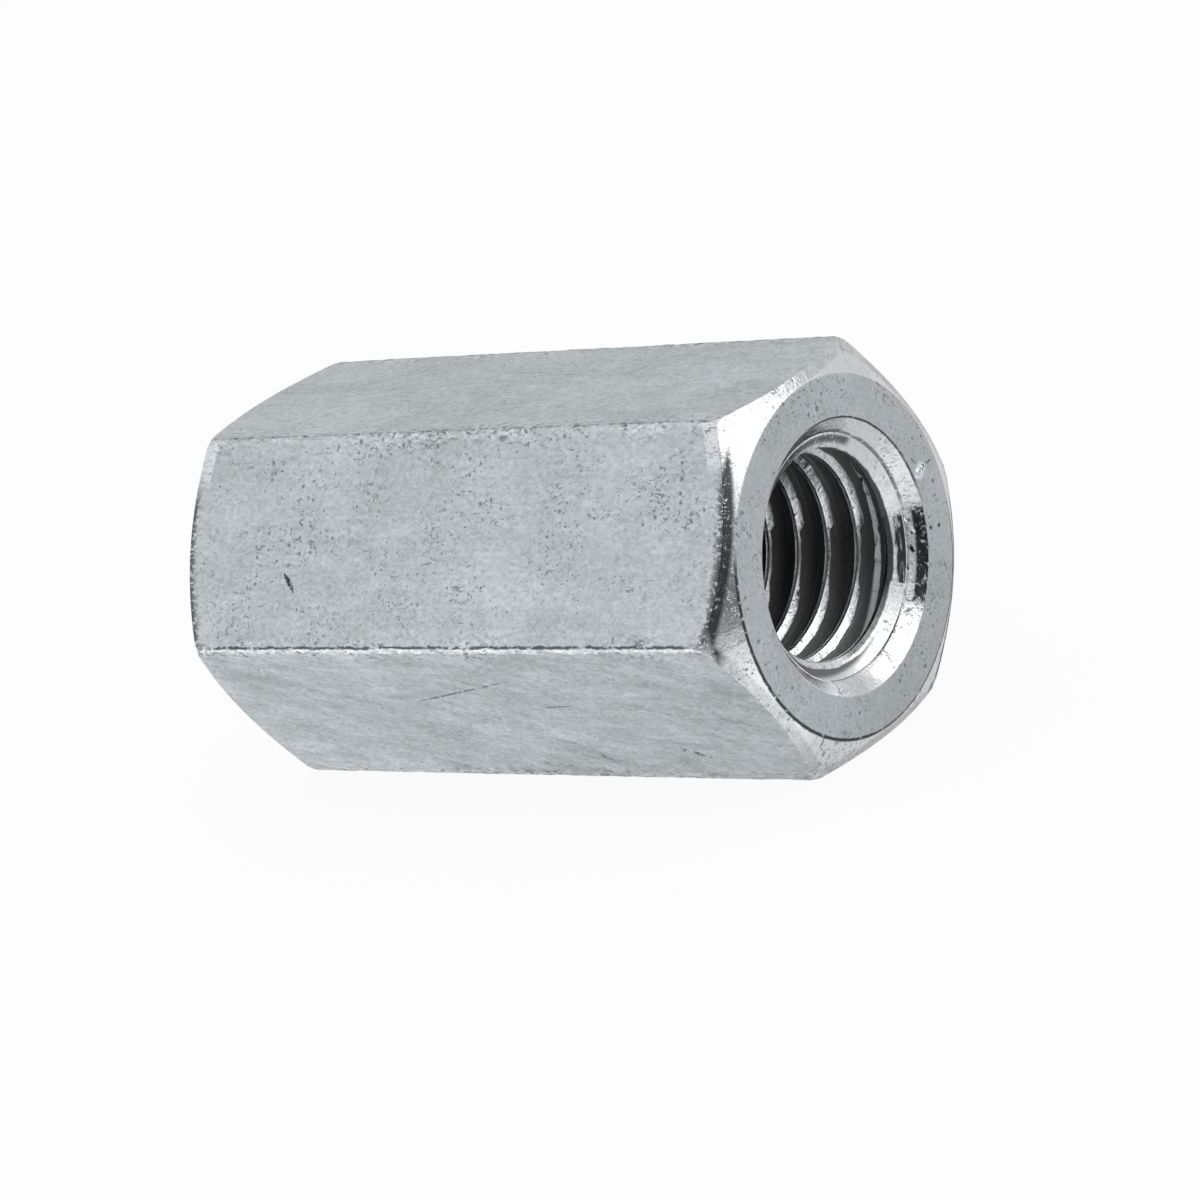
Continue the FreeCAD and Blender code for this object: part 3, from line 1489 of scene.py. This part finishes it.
@dataclass(frozen=True)
class Lobe:
    """A round soft patch of the surroundings that the metal reflects."""

    azimuth: float
    elevation: float
    inner: float
    outer: float
    level: float

    def share(self, direction: Field) -> Field:
        """How much of a direction lies in the patch."""
        reach = direction.dot(towards(self.azimuth, self.elevation))
        return reach.within(self.inner, self.outer)


@dataclass(frozen=True)
class FloorStrip:
    """A strip of the floor on one side of the nut that the metal mirrors."""

    across: tuple[float, float]
    along: tuple[float, float]
    level: float

    def share(self, along: Field, across: Field) -> Field:
        """How much of a place on the floor lies in the strip."""
        return across.ease(*self.across) * along.ease(*self.along)


@dataclass(frozen=True)
class FloorPatch:
    """A patch of the floor, in one direction from a place under the axis, that the metal mirrors."""

    azimuth: float
    inner: float
    outer: float
    near: float
    far: float
    level: float
    centre: float = 0.0

    def share(self, along: Field, across: Field) -> Field:
        """How much of a place on the floor lies in the patch.

        Args:
            along: The place's first coordinate in millimetres.
            across: The place's second coordinate in millimetres.

        Returns:
            1 in the patch and 0 outside it.
        """
        ahead = along - self.centre
        distance = ahead.joined(across, 0.0).length() + 0.001
        turned = math.radians(self.azimuth)
        facing = (ahead * math.cos(turned) + across * math.sin(turned)) / distance
        return facing.within(self.inner, self.outer) * distance.ease(self.near, self.far)


@dataclass
class Studio:
    """Pale floor, soft surroundings and the camera."""

    rest_height: float = -6.4
    floor_size: float = 4000.0
    aim: Point = (0.892, 0.124, -1.518)
    distance: float = 163.48
    azimuth: float = -48.137
    elevation: float = 18.340
    roll: float = -16.266
    lens: float = 142.59
    sensor: float = 36.0
    plain_level: float = 0.78
    fill_level: float = 1.0
    lobes: tuple[Lobe, ...] = (
        Lobe(85, 15, 30, 50, 0.60),
        Lobe(132, 18, 25, 50, 0.58),
        Lobe(28, 45, 21, 30, 2.0),
        Lobe(-53, 16, 20, 30, 0.04),
        Lobe(-22, -5, 13, 25, 0.05),
    )
    floor_glow: float = 0.92
    floor_colour: float = 0.78
    left_floor: float = 0.78
    right_floor: float = 0.64
    floor_blend: float = 12.0
    patches: tuple[FloorStrip | FloorPatch, ...] = (
        FloorStrip((8.0, 22.0), (8.0, 16.0), 0.80),
        FloorStrip((-12.0, -17.0), (10.0, 4.0), 1.3),
        FloorPatch(-28, 32, 52, 4.0, 6.0, 1.0, centre=10.0),
        FloorPatch(-38, 30, 45, 22.0, 38.0, 0.05),
    )
    mirrored_share: float = 0.9

    def build(self) -> None:
        """Set the whole studio up."""
        self.place_camera()
        self.lay_floor()
        self.light_world()
        bpy.context.scene.view_settings.view_transform = "Standard"

    def place_camera(self) -> None:
        """Put the camera at the angle from which the real nut was seen."""
        data = bpy.data.cameras.new("camera")
        camera = bpy.data.objects.new("camera", data)
        bpy.context.scene.collection.objects.link(camera)
        data.lens = self.lens
        data.sensor_width = self.sensor
        data.clip_start = 0.001
        data.clip_end = 10.0
        back = Vector(towards(self.azimuth, self.elevation))
        camera.location = (Vector(self.aim) + back * self.distance) * MM
        camera.rotation_mode = "QUATERNION"
        level = (-back).to_track_quat("-Z", "Y")
        camera.rotation_quaternion = level @ Quaternion((0, 0, 1), math.radians(self.roll))
        bpy.context.scene.camera = camera

    def lay_floor(self) -> None:
        """Lay the pale floor that the nut rests on."""
        Bench.clear()
        place = (0, 0, self.rest_height * MM)
        bpy.ops.mesh.primitive_plane_add(size=self.floor_size * MM, location=place)
        floor = bpy.context.object
        floor.name = "floor"
        material = bpy.data.materials.new("pale_floor")
        material.use_nodes = True
        desk = Desk(material.node_tree)
        seen = desk.add("ShaderNodeLightPath", {}, {}, out="Is Camera Ray")
        mirrored = seen.other("Is Glossy Ray")
        matt = desk.add("ShaderNodeBsdfDiffuse", {}, {"Color": (*(self.floor_colour,) * 3, 1)})
        level = seen + (1 - seen) * self.floor_seen_in_metal(desk)
        glow = desk.add("ShaderNodeEmission", {}, {"Color": (1, 1, 1, 1), "Strength": level})
        share = (seen * self.floor_glow).most(mirrored * self.mirrored_share)
        surface = desk.add("ShaderNodeMixShader", {}, {0: share, 1: matt, 2: glow})
        desk.add("ShaderNodeOutputMaterial", {}, {"Surface": surface})
        floor.data.materials.append(material)

    def floor_seen_in_metal(self, desk: Desk) -> Field:
        """Brightness of the floor where the metal mirrors it.

        Args:
            desk: The floor's tree.

        Returns:
            The brightness, high in front of the nut and low beyond the light.
        """
        coords = desk.add("ShaderNodeTexCoord", {}, {}, out="Object")
        along, across, _ = coords.scaled((1 / MM, 1 / MM, 0)).parts()
        to_right = along.ease(-self.floor_blend, self.floor_blend)
        level = self.left_floor + to_right * (self.right_floor - self.left_floor)
        for patch in self.patches:
            level = patch.share(along, across).over(level, patch.level)
        return level

    def light_world(self) -> None:
        """Light the nut from soft surroundings with one bright and one dark side."""
        world = bpy.data.worlds.new("studio")
        bpy.context.scene.world = world
        world.use_nodes = True
        desk = Desk(world.node_tree)
        direction = desk.add("ShaderNodeTexCoord", {}, {}, out="Generated")
        seen = desk.add("ShaderNodeLightPath", {}, {}, out="Is Camera Ray")
        mirrored = seen.other("Is Glossy Ray")
        level = self.plain_level
        for lobe in self.lobes:
            level = lobe.share(direction).over(level, lobe.level)
        level = mirrored * level + (1 - mirrored) * self.fill_level
        level = seen + (1 - seen) * level
        light = desk.add("ShaderNodeBackground", {}, {"Color": (1, 1, 1, 1), "Strength": level})
        desk.add("ShaderNodeOutputWorld", {}, {"Surface": light})


def main() -> None:
    """Build the nut and the studio round it."""
    logging.basicConfig(level=logging.INFO, format="%(message)s")
    nut = CouplingNut().build()
    log.info("%s: %d faces", nut.name, len(nut.data.polygons))
    Studio().build()
    log.info("studio ready")


if __name__ == "__main__":
    main()
